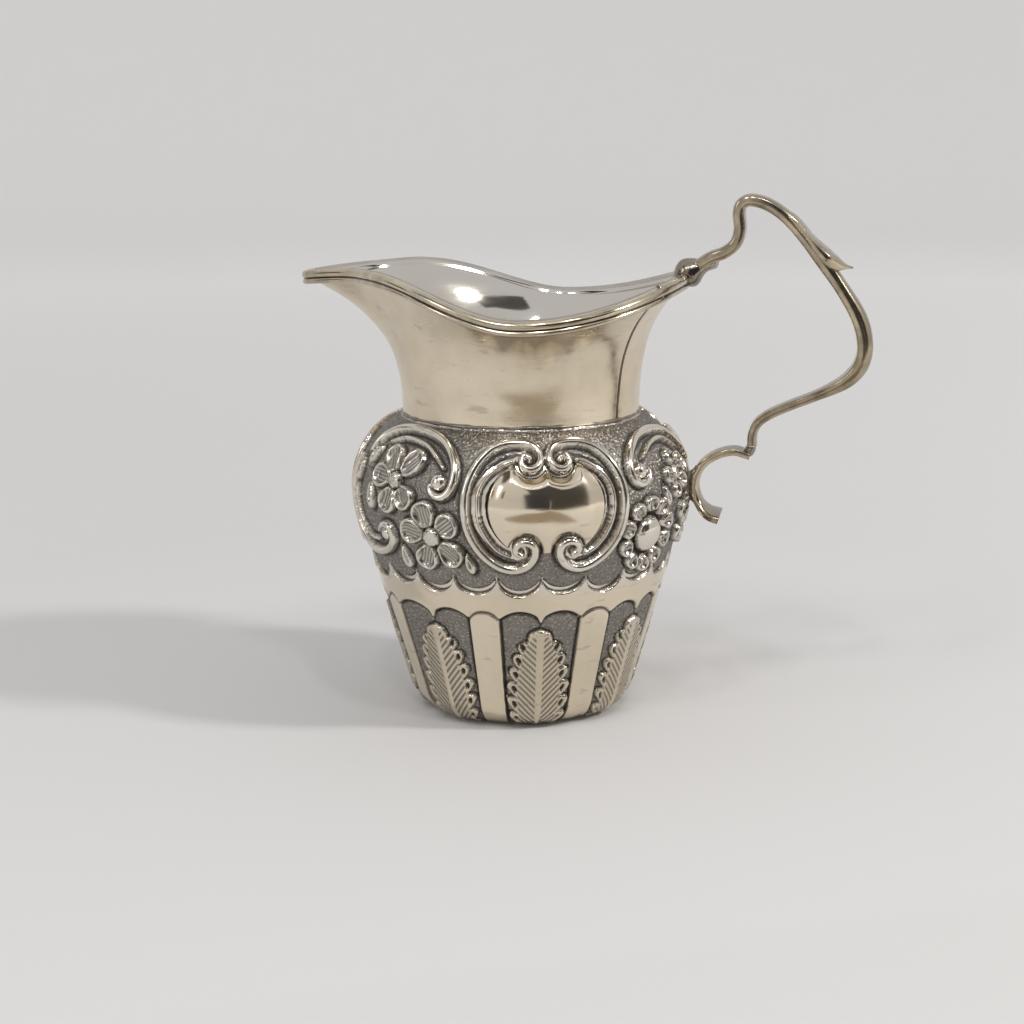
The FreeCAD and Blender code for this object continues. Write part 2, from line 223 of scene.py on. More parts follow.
def floral_ground():
    """The matted ground round the shoulder and belly, ending below in a row of hanging scallops."""
    flat_ground(FLORAL_LOW, CUSP_S, GROUND)
    pitch = GIRTH / SCALLOPS
    for k in range(SCALLOPS):
        middle = at_angle(LEAF_ANGLE) + (k + 0.5) * pitch
        depth = LOBE_DEPTH + RANDOM.uniform(-0.35, 0.5)
        half = pitch / 2 * RANDOM.uniform(0.93, 0.99)
        lean = RANDOM.uniform(-0.3, 0.3)
        pick, x, y = relief.window(middle, CUSP_S - 1.5, CUSP_S + depth + 1.5, half + 1)
        x = x - lean * (y - CUSP_S) / depth
        edge = CUSP_S + depth * round_top(x, half) ** 0.9
        inside = smooth(edge - y, -0.10, 0.10) * (np.abs(x) < half)
        # the punch cut is deepest along the lower edge of each lobe, where it is painted dark with shade and
        # dirt
        cut = inside * smooth(y - edge, -1.15, -0.55) * smooth(y, CUSP_S - 0.2, CUSP_S + 1.2)
        level = GROUND - 0.55 * cut
        relief.set_to(pick, level, inside)
        relief.matt[pick] = np.maximum(relief.matt[pick], inside)
        relief.darken(pick, cut * 0.95)
        lip = bell(y - edge - 0.28, 0.22) * (np.abs(x) < half) * (y > CUSP_S + 0.4)
        relief.height[pick] += 0.12 * lip


def volute_knob(u0, x0, s0, radius, height):
    """The round boss in the eye of a scroll."""
    pick, x, y = relief.window(u0, s0 - radius - 1, s0 + radius + 1, abs(x0) + radius + 1)
    d = np.hypot(x - x0, y - s0)
    # a sunk ring of painted shade and dirt round the boss
    relief.groove(pick, np.clip(d - radius, 0, None), 0.3, 0.2, 0.8)
    relief.raise_dome(pick, d, radius, height)
    relief.polish(pick, smooth(radius - d, -0.1, 0.15))


# The cartouche's C-scrolls, as (across, down) from its middle: a heavy outer ridge and a thin inner one.
C_OUTER = [
    (-2.7, 6.7), (-3.6, 6.2), (-4.2, 7.2), (-3.4, 8.4), (-1.9, 8.4), (-0.8, 7.2), (-0.9, 5.4), (-2.4, 4.1),
    (-4.8, 3.7), (-7.4, 4.0), (-9.8, 5.2), (-11.8, 7.9), (-13.0, 11.2), (-13.3, 14.5), (-12.9, 17.8),
    (-11.8, 20.6), (-10.0, 23.0), (-7.6, 24.6), (-5.2, 25.0), (-3.2, 24.2), (-2.1, 22.6), (-2.2, 20.9),
    (-3.4, 20.1), (-4.8, 20.5), (-5.2, 21.7), (-4.2, 22.3),
]
C_INNER = [
    (-5.2, 7.0), (-7.4, 7.8), (-9.6, 9.5), (-10.9, 11.8), (-11.2, 14.4), (-10.8, 17.2), (-9.6, 19.7),
    (-8.0, 21.6), (-6.2, 22.6),
]


def cartouche(u0):
    """A domed blank reserve held between two C-scrolls with double ridges."""
    pick, x, y = relief.window(u0, 2.5, 26.5, 16)
    band = smooth(1 - np.hypot(x / 12.9, (y - 14.4) / 10.7), 0.0, 0.06)
    band = band * np.maximum(smooth(np.abs(x), 2.5, 4.0), smooth(y, 7.0, 8.0) * (1 - smooth(y, 20.5, 21.5)))
    # the band between the ridges is sunk and painted dark with shade and dirt
    relief.set_to(pick, GROUND - 0.35, band)
    relief.darken(pick, 0.97 * band)
    relief.matt[pick] *= 1 - band
    # the reserve: an oval with bites taken out of it by the four volutes
    oval = 1 - np.hypot(x / 9.7, (y - 14.5) / 9.2)
    fence = np.minimum.reduce([
        oval * 8.0,
        np.hypot(np.abs(x) - 2.5, y - 6.9) - 2.75,
        np.hypot(np.abs(x) - 3.6, y - 22.1) - 2.75,
        22.3 - y,
    ])
    inside = smooth(fence, -0.1, 0.25)
    bulge = 0.15 + 1.25 * np.sqrt(np.clip(oval, 0, 1)) * smooth(fence, -0.1, 2.2)
    relief.set_to(pick, bulge, inside)
    relief.polish(pick, smooth(fence, -0.05, 0.35))
    # the reserve is painted warm too, partly as a painted reflection of the warm room
    relief.warm[pick] = np.maximum(relief.warm[pick], smooth(fence, -0.05, 0.35))
    for flip in (1, -1):
        relief.ridge(u0, C_INNER, 0.42, 0.45, taper=0.3, flip=flip)
        relief.ridge(u0, C_OUTER, 0.78, 0.85, taper=0.35, flip=flip)


def petal(u0, x0, s0, x1, s1, width, lift=0.8, pitch=0.56):
    """A petal from near a flower's boss (x0, s0) to its tip (x1, s1): raised rim, hatched cup."""
    length = math.hypot(x1 - x0, s1 - s0)
    ax, ay = (x1 - x0) / length, (s1 - s0) / length
    far = max(abs(x0), abs(x1)) + width + 1.5
    pick, x, y = relief.window(u0, min(s0, s1) - width - 1.5, max(s0, s1) + width + 1.5, far)
    along = ((x - x0) * ax + (y - s0) * ay) / length
    across = -(x - x0) * ay + (y - s0) * ax
    # a petal is narrow at its root and full towards its tip
    half = width * (0.55 + 0.45 * smooth(along, 0, 0.62))
    reach = 1 - (np.abs(2 * along - 1) ** 2.6 + np.abs(across / half) ** 2.2) ** 0.45
    reach = reach * min(width, length / 2)
    # a line of painted shade and dirt round the petal
    relief.groove(pick, np.clip(-reach, 0, None), 0.42, 0.22, 0.95)
    inside = smooth(reach, -0.08, 0.12)
    rim = lift * (0.62 + 0.38 * bell(reach - 0.36, 0.26) - 0.55 * smooth(reach, 0.45, 1.1))
    rim = rim * (0.55 + 0.45 * smooth(along, 0.0, 0.6))
    cup = inside * smooth(reach, 0.38, 0.62) * smooth(along, 0.05, 0.2)
    lines = 0.5 + 0.5 * np.cos(2 * math.pi * across / pitch)
    rim = rim - 0.12 * cup * lines
    relief.set_to(pick, rim, inside)
    relief.polish(pick, inside)
    # the cup and its hatched lines are painted dark with shade and dirt
    relief.darken(pick, cup * (0.30 + 0.55 * lines))


def boss(u0, x0, s0, radius, height):
    """The punched button in the middle of a flower, with a sunk ring of painted shade and dirt round it."""
    pick, x, y = relief.window(u0, s0 - radius - 1.5, s0 + radius + 1.5, abs(x0) + radius + 1.5)
    d = np.hypot(x - x0, y - s0)
    ring = bell(d - radius - 0.25, 0.28)
    relief.height[pick] -= 0.45 * ring
    relief.darken(pick, 0.95 * ring)
    inside = smooth(radius - d, -0.08, 0.08)
    beads = 0.12 * np.cos(x * 6.5) * np.cos(y * 6.5)
    dome = height * (0.55 + 0.45 * round_top(d, radius)) + beads
    relief.set_to(pick, dome, inside)
    relief.polish(pick, inside * 0.85)


def flower(u0, x0, s0, tips, width=1.5, radius=1.15):
    """A flower with one petal out to each tip."""
    for x1, s1 in tips:
        span = math.hypot(x1 - x0, s1 - s0)
        root = 0.9 * radius / span
        petal(u0, x0 + (x1 - x0) * root, s0 + (s1 - s0) * root, x1, s1, width)
    boss(u0, x0, s0, radius, 0.62)


def ray_tips(x0, s0, count, reach, turn):
    """Evenly spread petal tips round a flower's middle."""
    angles = [turn + 2 * math.pi * k / count for k in range(count)]
    return [(x0 + reach * math.cos(a), s0 + reach * math.sin(a)) for a in angles]


def daisy(u0, x0, s0):
    """A large flower with a plain polished bead in a deep ring, painted dark with shade and dirt."""
    for x1, s1 in ray_tips(x0, s0, 10, 6.5, 0.3):
        petal(u0, x0 + (x1 - x0) * 0.55, s0 + (s1 - s0) * 0.55, x1, s1, 1.6, lift=0.7)
    pick, x, y = relief.window(u0, s0 - 7, s0 + 7, abs(x0) + 7)
    d = np.hypot(x - x0, (y - s0) * 0.95)
    ring = smooth(d, 2.6, 2.9) * (1 - smooth(d, 3.5, 3.8))
    relief.set_to(pick, -0.55, smooth(4.0 - d, 0, 0.35))
    relief.darken(pick, ring)
    bead = round_top(d, 2.9)
    relief.height[pick] = np.where(d < 2.9, -0.45 + 1.75 * bead, relief.height[pick])
    relief.polish(pick, smooth(2.85 - d, -0.1, 0.1))


def sprigs(u0, leaves):
    """Small hatched leaves, each from its root to its tip."""
    for x0, s0, x1, s1, width in leaves:
        petal(u0, x0, s0, x1, s1, width, lift=0.6)


LEFT_SCROLL = [
    (-7.2, 10.2), (-8.6, 7.6), (-8.0, 5.0), (-5.3, 3.0), (-1.9, 2.1), (2.2, 2.1), (5.8, 2.7), (9.3, 4.1),
    (11.8, 6.3), (13.0, 8.6), (13.1, 10.9), (12.4, 12.6), (11.0, 13.4), (9.5, 12.8), (9.0, 11.6),
]
LEFT_SCROLL_INNER = [(-4.4, 5.6), (-0.5, 4.2), (4.9, 4.8), (8.3, 6.6), (10.8, 8.7)]
FAR_SCROLL = [
    (-13.4, 9.5), (-14.2, 12.8), (-14.2, 16.3), (-13.4, 19.5), (-11.6, 22.6), (-8.7, 24.4), (-4.9, 24.6),
    (-1.4, 23.4), (0.4, 21.4), (0.1, 19.7), (-1.6, 19.3), (-2.8, 20.4),
]
FAR_SCROLL_INNER = [(-12.0, 13.5), (-11.9, 17.0), (-10.3, 20.2), (-7.4, 22.2), (-4.4, 22.4)]


def left_group(u0):
    """Two hatched flowers under a leafy scroll."""
    relief.ridge(u0, LEFT_SCROLL_INNER, 0.4, 0.45)
    relief.ridge(u0, LEFT_SCROLL, 0.75, 0.85, taper=0.45)
    volute_knob(u0, 10.4, 11.0, 1.35, 0.95)
    relief.ridge(u0, FAR_SCROLL_INNER, 0.4, 0.4)
    relief.ridge(u0, FAR_SCROLL, 0.7, 0.75)
    volute_knob(u0, -1.5, 21.0, 1.0, 0.7)
    flower(u0, 1.3, 11.6, [(-1.6, 6.0), (6.4, 6.6), (5.2, 15.6), (-0.8, 17.0), (-4.7, 11.2)], 2.05, 1.3)
    flower(u0, 9.1, 20.1, [(13.6, 16.8), (7.3, 14.3), (14.2, 24.2), (6.9, 25.6), (3.1, 19.0)], 2.2, 1.45)
    sprigs(u0, [
        (-6.0, 6.6, -8.0, 10.0, 0.9), (-11.4, 9.6, -11.6, 13.6, 0.8), (-5.8, 12.8, -4.8, 17.2, 1.0),
        (2.2, 22.4, 3.4, 26.2, 1.0), (15.0, 22.6, 16.2, 26.0, 0.8),
    ])


RIGHT_SCROLL = [
    (9.6, 11.2), (9.0, 8.6), (6.8, 6.4), (4.3, 4.6), (1.6, 3.9), (-1.6, 3.6), (-6.4, 4.3), (-10.2, 6.5),
    (-11.9, 8.9), (-11.9, 11.1), (-10.5, 12.3), (-8.7, 11.8), (-8.2, 10.4),
]
RIGHT_SCROLL_INNER = [(5.6, 8.8), (3.1, 6.7), (0.2, 5.6), (-4.2, 6.2), (-8.2, 8.2)]
SIDE_SCROLL = [
    (11.6, 5.2), (13.6, 7.6), (14.0, 11.5), (13.4, 16.0), (11.8, 19.6), (11.4, 22.6), (12.9, 24.8),
    (15.0, 24.4), (15.6, 22.8), (14.6, 21.8),
]


def right_group(u0):
    """A beaded daisy, two flowers and a leafy scroll."""
    relief.ridge(u0, RIGHT_SCROLL_INNER, 0.4, 0.45)
    relief.ridge(u0, RIGHT_SCROLL, 0.75, 0.8, taper=0.45)
    volute_knob(u0, -9.8, 10.2, 1.25, 0.9)
    relief.ridge(u0, SIDE_SCROLL, 0.65, 0.7)
    volute_knob(u0, 14.2, 23.2, 0.9, 0.7)
    flower(u0, 0.4, 12.0, ray_tips(0.4, 12.0, 5, 4.3, -1.9), 1.45, 1.15)
    flower(u0, 5.8, 20.6, ray_tips(5.8, 20.6, 5, 4.9, -1.3), 1.65, 1.3)
    daisy(u0, -8.1, 21.0)
    sprigs(u0, [
        (7.0, 10.6, 6.6, 14.6, 0.9), (10.2, 12.2, 10.6, 16.6, 0.9), (-4.4, 13.6, -3.0, 17.0, 0.8),
    ])


# The panels as (left edge, leaf's middle, right edge) in degrees. The three at the front are uneven, as
# listed, and the rest share what is left.
PANEL_LOW = 56.6
PANEL_HALF_ANGLE = 16.3
PANELS = [(-50.0, -28.4, -11.6), (0.9, 17.3, 33.7), (47.3, 63.6, 80.0)]
FIRST_BACK_PANEL = 107.5
BACK_PANEL_PITCH = 43.8
for step in range(SECTORS - len(PANELS)):
    leaf_middle = FIRST_BACK_PANEL + step * BACK_PANEL_PITCH
    PANELS.append((leaf_middle - PANEL_HALF_ANGLE, leaf_middle, leaf_middle + PANEL_HALF_ANGLE))


def lower_panels():
    """Eight matted panels between polished strips with arched tops, below the scallops."""
    for k, (left, middle, right) in enumerate(PANELS):
        cusp = at_angle(middle)
        left_edge, right_edge = at_angle(left) - cusp, at_angle(right) - cusp
        pick, x, y = relief.window(cusp, 31.5, PANEL_LOW + 2, max(-left_edge, right_edge) + 1)
        # two arches spring from a cusp over the leaf's tip
        span = np.where(x < 0, x / left_edge, x / right_edge)
        arch = 33.0 + 1.5 * np.clip(np.abs(span - 0.5) * 2, 0, 1) ** 2.1 + 0.8 * bell(x, 0.45)
        narrowing = 0.30 * np.clip((y - 34.6) / 20, 0, 1)
        inside = np.minimum.reduce([
            x - left_edge - narrowing, right_edge - narrowing - x, y - arch, (PANEL_LOW - y) * 0.6,
        ])
        field = smooth(inside, -0.12, 0.12)
        relief.set_to(pick, GROUND * 0.8, field)
        relief.matt[pick] = np.maximum(relief.matt[pick], field)
        # a sunk line of painted shade and dirt round the panel
        line = bell(inside - 0.22, 0.34) * smooth(PANEL_LOW - y, 0.2, 1.4)
        relief.height[pick] -= 0.28 * line
        relief.darken(pick, 0.95 * line)
        lip = bell(inside + 0.45, 0.3)
        relief.height[pick] += 0.08 * lip * smooth(PANEL_LOW - y, 0.2, 1.4)
        # the strip to the right of the panel
        following = PANELS[(k + 1) % SECTORS][0]
        strip_half = at_angle((following - right) % 360) / 2
        pick, x, y = relief.window(at_angle(right) + strip_half, 31.5, 36.5, strip_half + 0.3)
        arch = 33.2 + 1.4 * np.clip(np.abs(x) / strip_half, 0, 1) ** 2.4
        # the strip's arched top is a sunk line of painted shade and dirt
        line = bell(y - arch, 0.34)
        relief.height[pick] -= 0.30 * line
        relief.darken(pick, 0.95 * line)


# The leaf's half width at ways down the bulb, and the spacing and slant of its lobes.
LEAF_WIDTHS = [
    (36.1, 1.3), (37.6, 2.5), (39.6, 4.9), (43.4, 6.4), (47.0, 7.3), (50.5, 7.4), (53.5, 6.9), (56.8, 5.8),
]
LEAF_TOP = 36.3
LEAF_LOW = 56.9
LEAF_LOBE = 2.95
LOBE_LEAN = 0.45


def acanthus(u0):
    """A tall chased leaf with a mid-rib, angled slits, rounded lobes and a punched hole in each lobe."""
    pick, x, y = relief.window(u0, LEAF_TOP - 1, LEAF_LOW + 1, 8.6)
    places, widths = zip(*LEAF_WIDTHS)
    full = np.interp(y, places, widths)
    side = np.abs(x)
    lobe = (y - LEAF_TOP - 0.3 + LOBE_LEAN * side) / LEAF_LOBE
    bulge = np.abs(np.sin(math.pi * lobe)) ** 0.6
    edge = np.minimum(full * (0.60 + 0.40 * bulge) - side, (LEAF_LOW - y) * 0.6)
    edge = np.minimum(edge, y - LEAF_TOP - 0.35 * side)
    # a line of painted shade and dirt round the leaf
    line = bell(edge + 0.15, 0.3) * smooth(LEAF_LOW - y, 0.2, 1.6)
    relief.height[pick] -= 0.26 * line
    relief.darken(pick, 0.9 * line)
    inside = smooth(edge, -0.08, 0.14)
    across = side / np.maximum(full, 0.2)
    body = 0.14 + 0.26 * np.sqrt(np.clip(1 - across ** 2, 0, 1))
    # the slits climb outwards from the rib; each is cut with two rows of short strokes
    phase = (y + 0.85 * side) / 1.16
    slit = np.clip(0.5 - 0.5 * np.cos(2 * math.pi * phase), 0, 1) ** 1.1
    slit = slit * smooth(side, 0.55, 0.9) * smooth(0.70 * full - side, -0.1, 0.5) * smooth(edge, 0.3, 0.6)
    strokes = 0.5 + 0.5 * np.cos(2 * math.pi * side / 0.5)
    body = body - 0.16 * slit * (0.4 + 0.6 * strokes)
    rib_half = 0.25 + 0.55 * np.clip((y - 38) / 18, 0, 1)
    rib = round_top(side, rib_half) * smooth(y, 38, 41)
    body = np.maximum(body, 0.34 + 0.26 * rib * (side < rib_half))
    relief.set_to(pick, body, inside)
    relief.polish(pick, 0.82 * inside)
    # the slits are painted dark with shade and dirt
    relief.darken(pick, inside * slit * (0.65 + 0.35 * strokes))
    for row in range(7):
        down = LEAF_TOP + 0.3 + (row + 0.5) * LEAF_LOBE
        out = 0.0
        for _ in range(4):
            out = 0.76 * np.interp(down - LOBE_LEAN * out, places, widths)
        down = down - LOBE_LEAN * out
        if row == 0 or down > LEAF_LOW - 1.6:
            continue
        for turn in (1, -1):
            px, py = x * turn - out, y - down
            along = (px * 0.62 - py * 0.78) / 0.85
            wide = (px * 0.78 + py * 0.62) / 0.55
            hole = smooth(1 - np.hypot(along, wide), 0.0, 0.35)
            # each hole is sunk and painted dark with shade and dirt
            relief.height[pick] -= 0.5 * hole
            relief.darken(pick, hole)


def chase_the_bulb():
    """Draws all the ornament into the relief."""
    floral_ground()
    for side in (0, 180):
        left_group(at_angle(-40 + side))
        right_group(at_angle(75 + side))
        cartouche(at_angle(CARTOUCHE_ANGLE + side))
    lower_panels()
    for _, middle, _ in PANELS:
        acanthus(at_angle(middle))
    # the punched ground is uneven
    grain = RANDOM.normal(0, 1, relief.height.shape)
    relief.height += 0.045 * grain * relief.matt * (1 - relief.dark)
    # the metal is plain at the neck and at the foot
    fade = smooth(relief.s, 0.0, 0.4) * (1 - smooth(relief.s, FOOT_END - 4.5, FOOT_END - 1.2))
    relief.height *= fade[:, None]


def mesh_piece(name, vertices, faces):
    """A mesh object from millimetre coordinates."""
    mesh = bpy.data.meshes.new(name)
    mesh.from_pydata((np.asarray(vertices) * MM).tolist(), [], [tuple(int(i) for i in f) for f in faces])
    mesh.update()
    mesh.shade_smooth()
    piece = bpy.data.objects.new(name, mesh)
    bpy.context.scene.collection.objects.link(piece)
    return piece


def grid_faces(rows, columns, wrap, flip=False):
    """Quads of a grid of rows by columns, closed across the columns if wrap is set."""
    last = columns if wrap else columns - 1
    i, j = np.meshgrid(np.arange(rows - 1), np.arange(last), indexing="ij")
    a = i * columns + j
    b = i * columns + (j + 1) % columns
    quads = np.stack([a, b, b + columns, a + columns], axis=-1).reshape(-1, 4)
    return quads[:, ::-1] if flip else quads


def paint(piece, name, values):
    """A number at each vertex, for the materials."""
    layer = piece.data.attributes.new(name, "FLOAT", "POINT")
    layer.data.foreach_set("value", np.asarray(values, np.float32))


def add_piece(piece, node):
    """Ties a finished piece to the jug's root and hides the CAD node it stands for."""
    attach(piece, "root")
    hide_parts(node)


INNER_ROWS = 36


def ring_points(r, angle, z):
    """Points round the jug, from grids of radius and height and a row of angles from -Y."""
    return np.stack([r * np.sin(angle), -r * np.cos(angle), z], axis=-1).reshape(-1, 3)


def make_bulb():
    """The chased bulb: relief outside, a plain wall inside, open at the neck and turned in at the foot."""
    angle = relief.u / BELLY_RADIUS
    radius, height, out, up = bulb_outline(relief.s)
    r = radius[:, None] + relief.height * out[:, None]
    z = height[:, None] + relief.height * up[:, None]
    outer = ring_points(r, angle, z)
    s_in = np.linspace(FOOT_END, 0, INNER_ROWS)
    radius, height, out, up = bulb_outline(s_in)
    r = (radius - SHEET * out)[:, None] * np.ones(COLUMNS)
    z = (height - SHEET * up)[:, None] * np.ones(COLUMNS)
    z = np.clip(z, SHEET, NECK_HEIGHT)
    inner = ring_points(r, angle, z)
    vertices = np.vstack([outer, inner])
    rows = ROWS + INNER_ROWS
    faces = grid_faces(rows + 1, COLUMNS, True, flip=True) % (rows * COLUMNS)
    piece = mesh_piece("chased_bulb", vertices, faces)
    blank = np.zeros(len(inner))
    for name in ("matt", "dark", "warm"):
        paint(piece, name, np.concatenate([getattr(relief, name).ravel(), blank]))
    add_piece(piece, "body_shell")


MOUTH_RADIUS = 27.4
MOUTH_SHIFT = 1.2
MOUTH_SQUARENESS = 1.0
SPOUT_LENGTH = 9.1
SPOUT_HALF_ANGLE = 13.0
RIM_LOW_HEIGHT = 67.2
RIM_LOW_PLACE = 4.0
SPOUT_RISE = 6.4
SPOUT_RISE_RUN = 26.0
HANDLE_RISE = 5.2
HANDLE_RISE_RUN = 23.3
TIP_DROOP = 1.1
COLLAR_SHEET = 0.7
WIRE_DEPTH = 1.3


def rim_height(x):
    """The rim's height over the foot at a place along the jug; the spout is on the -X side."""
    back = RIM_LOW_HEIGHT + HANDLE_RISE * (np.clip(x - RIM_LOW_PLACE, 0, None) / HANDLE_RISE_RUN) ** 2
    run = np.clip((RIM_LOW_PLACE - x) / SPOUT_RISE_RUN, 0, 1)
    front = RIM_LOW_HEIGHT + SPOUT_RISE * (3 * run ** 2 - 2 * run ** 3)
    droop_start = RIM_LOW_PLACE - SPOUT_RISE_RUN
    tip = MOUTH_RADIUS - MOUTH_SHIFT + MOUTH_SQUARENESS + SPOUT_LENGTH
    front -= TIP_DROOP * (np.clip(droop_start - x, 0, None) / (tip + droop_start)) ** 2
    return np.where(x >= RIM_LOW_PLACE, back, front)


def rim_radius(angle):
    """The mouth's radius at an angle from the handle's side (+X)."""
    mouth = MOUTH_RADIUS + MOUTH_SHIFT * np.cos(angle) - MOUTH_SQUARENESS * np.cos(3 * angle)
    off_spout = np.degrees(np.abs(np.mod(angle, 2 * np.pi) - np.pi))
    return mouth + SPOUT_LENGTH * bell(off_spout, SPOUT_HALF_ANGLE)


def collar_point(angle, level):
    """The collar's outer surface: level 0 at the neck, 1 at the rim."""
    rim = rim_radius(angle)
    flare = 0.35 * level ** 1.8 + 0.65 * level ** 3.6
    radius = NECK_RADIUS + (rim - NECK_RADIUS) * flare
    height = NECK_HEIGHT + (rim_height(rim * np.cos(angle)) - NECK_HEIGHT) * level
    return np.stack([radius * np.cos(angle), radius * np.sin(angle), height + 0 * radius], axis=-1)


COLLAR_COLUMNS = 512
COLLAR_ROWS = 64
LIP = 1.15


def collar_grid(start, end, columns, lift=0.0):
    """The collar's outer and inner skins between two angles; the sheet is hammered very slightly uneven."""
    angle = np.linspace(start, end, columns)
    level = np.linspace(0, 0.985, COLLAR_ROWS)
    a, lv = np.meshgrid(angle, level)
    points = collar_point(a, lv)
    normals = np.cross(np.gradient(points, axis=1), np.gradient(points, axis=0))
    normals /= np.linalg.norm(normals, axis=-1, keepdims=True)
    wave = 0.05 * np.sin(3 * a + 9 * lv) + 0.035 * np.sin(7 * a - 14 * lv + 1.3)
    wave = wave + 0.03 * np.sin(11 * a + 5 * lv)
    wave = wave * smooth(lv, 0.03, 0.25) * (1 - smooth(lv, 0.75, 0.95))
    outer = points + normals * (lift + wave)[..., None]
    inner = points - normals * (COLLAR_SHEET + lift - wave)[..., None]
    # the sheet's edge stands straight up behind the rim wire
    rise = np.array([0, 0, LIP])
    outer = np.concatenate([outer, outer[-1:] + rise])
    inner = np.concatenate([inner, inner[-1:] + rise])
    return outer, inner


def sheet_mesh(name, outer, inner):
    """A closed sheet from its two skins."""
    rows, columns = outer.shape[:2]
    vertices = np.vstack([outer.reshape(-1, 3), inner[::-1].reshape(-1, 3)])
    faces = [grid_faces(2 * rows + 1, columns, False) % (2 * rows * columns)]
    i = np.arange(rows - 1)
    for side, turn in ((0, 1), (columns - 1, -1)):
        rim = np.arange(2 * rows) * columns + side
        end = np.stack([rim[i], rim[i + 1], rim[2 * rows - 2 - i], rim[2 * rows - 1 - i]], axis=-1)
        faces.append(end[:, ::turn])
    return mesh_piece(name, vertices, np.vstack(faces))


SEAM_ANGLE = math.radians(-28)
SEAM_WIDTH = 0.5
SEAM_COLUMNS = 5
SEAM_LIFT = 0.015


def make_collar():
    """The flared collar and the soldered seam down it."""
    half = SEAM_WIDTH / 2 / NECK_RADIUS
    outer, inner = collar_grid(SEAM_ANGLE + half, SEAM_ANGLE + 2 * math.pi - half, COLLAR_COLUMNS)
    collar = sheet_mesh("flared_collar", outer, inner)
    skins = outer.shape[0] * outer.shape[1]
    paint(collar, "inside", np.repeat([0.0, 1.0], skins))
    add_piece(collar, "neck_collar")
    outer, inner = collar_grid(SEAM_ANGLE - half, SEAM_ANGLE + half, SEAM_COLUMNS, lift=SEAM_LIFT)
    seam = sheet_mesh("collar_seam", outer, inner)
    add_piece(seam, "seam_solder")


def make_neck_bead():
    """The thin line of solder where the collar meets the bulb."""
    turn = np.linspace(0, 2 * np.pi, 8, endpoint=False)
    angle = np.linspace(0, 2 * np.pi, 256, endpoint=False)
    uneven = 0.28 + 0.05 * np.sin(9 * angle) + 0.04 * np.sin(23 * angle + 1) + 0.03 * np.sin(41 * angle + 2)
    radius = NECK_RADIUS + 0.02 + uneven[:, None] * np.cos(turn)
    height = NECK_HEIGHT + 0.10 + uneven[:, None] * np.sin(turn)
    x = radius * np.cos(angle)[:, None]
    y = radius * np.sin(angle)[:, None]
    points = np.stack([x, y, height], axis=-1)
    around = grid_faces(len(angle) + 1, len(turn), True, flip=True) % (len(angle) * len(turn))
    bead = mesh_piece("neck_bead", points.reshape(-1, 3), around)
    add_piece(bead, "neck_solder")


# The rim wire is drawn with two beads, each (outward, upward, radius) from the wire's middle.
WIRE_COLUMNS = 640
WIRE_SIDES = 48
UPPER_BEAD = (0.0, 0.50, 0.70)
LOWER_BEAD = (0.08, -0.62, 0.50)


def bead_profile(count):
    """The wire's section, as a loop of (outward, upward) offsets: two round beads that meet in a groove."""
    turn = np.linspace(0, 2 * np.pi, count, endpoint=False)
    middle = np.array([0.04, -0.02])
    direction = np.stack([np.cos(turn), np.sin(turn)], axis=-1)
    reach = np.zeros(count)
    for out, up, radius in (UPPER_BEAD, LOWER_BEAD):
        centre = np.array([out, up]) - middle
        along = direction @ centre
        inside = along ** 2 - centre @ centre + radius ** 2
        hit = np.where(inside > 0, along + np.sqrt(np.clip(inside, 0, None)), 0)
        reach = np.maximum(reach, hit)
    return middle + direction * reach[:, None]


def make_rim():
    """The beaded wire all round the mouth."""
    angle = np.linspace(0, 2 * np.pi, WIRE_COLUMNS, endpoint=False)
    centre = collar_point(angle, np.ones_like(angle))
    radial = np.stack([np.cos(angle), np.sin(angle), 0 * angle], axis=-1)
    centre = centre + radial * (WIRE_DEPTH - COLLAR_SHEET) / 2
    along = np.roll(centre, -1, axis=0) - np.roll(centre, 1, axis=0)
    along[:, 2] = 0
    along /= np.linalg.norm(along, axis=-1, keepdims=True)
    outward = np.stack([along[:, 1], -along[:, 0], 0 * angle], axis=-1)
    profile = bead_profile(WIRE_SIDES)
    up = np.array([0, 0, 1.0])
    points = centre[:, None] + outward[:, None] * profile[None, :, :1] + up * profile[None, :, 1:]
    count = len(profile)
    faces = grid_faces(WIRE_COLUMNS + 1, count, True, flip=True) % (WIRE_COLUMNS * count)
    wire = mesh_piece("beaded_rim", points.reshape(-1, 3), faces)
    # the groove between the beads, painted dark with shade and dirt by the wire's silver
    paint(wire, "groove", np.tile(bell(profile[:, 1] + 0.16, 0.16), WIRE_COLUMNS))
    add_piece(wire, "rim_wire")


# The handle's routes, as (along the jug, up) in millimetres.
STRAP_ROUTE = [
    (29.6, 74.8), (31.6, 76.1), (33.9, 77.0), (35.7, 78.5), (36.4, 80.8), (36.2, 83.3), (36.6, 84.8),
    (37.9, 85.4), (40.0, 85.0), (42.3, 83.8), (44.5, 81.9), (46.7, 79.4), (49.0, 76.5), (51.3, 73.4),
    (53.4, 70.2), (55.1, 67.2), (56.1, 64.4), (56.4, 61.5), (55.7, 58.9), (53.9, 56.7), (51.4, 55.1),
    (48.4, 53.7), (44.7, 52.2), (41.5, 50.7), (39.6, 49.2), (38.8, 47.4), (38.7, 45.4),
]
THUMB_ROUTE = [(42.4, 84.4), (44.8, 82.6), (47.1, 80.0), (49.3, 77.4), (51.7, 75.3), (54.5, 74.7)]
SCROLL_ROUTE = [
    (38.5, 43.8), (35.8, 44.5), (32.8, 43.7), (30.4, 41.8), (29.3, 38.8), (30.0, 35.8), (31.6, 33.9),
    (33.6, 33.2),
]


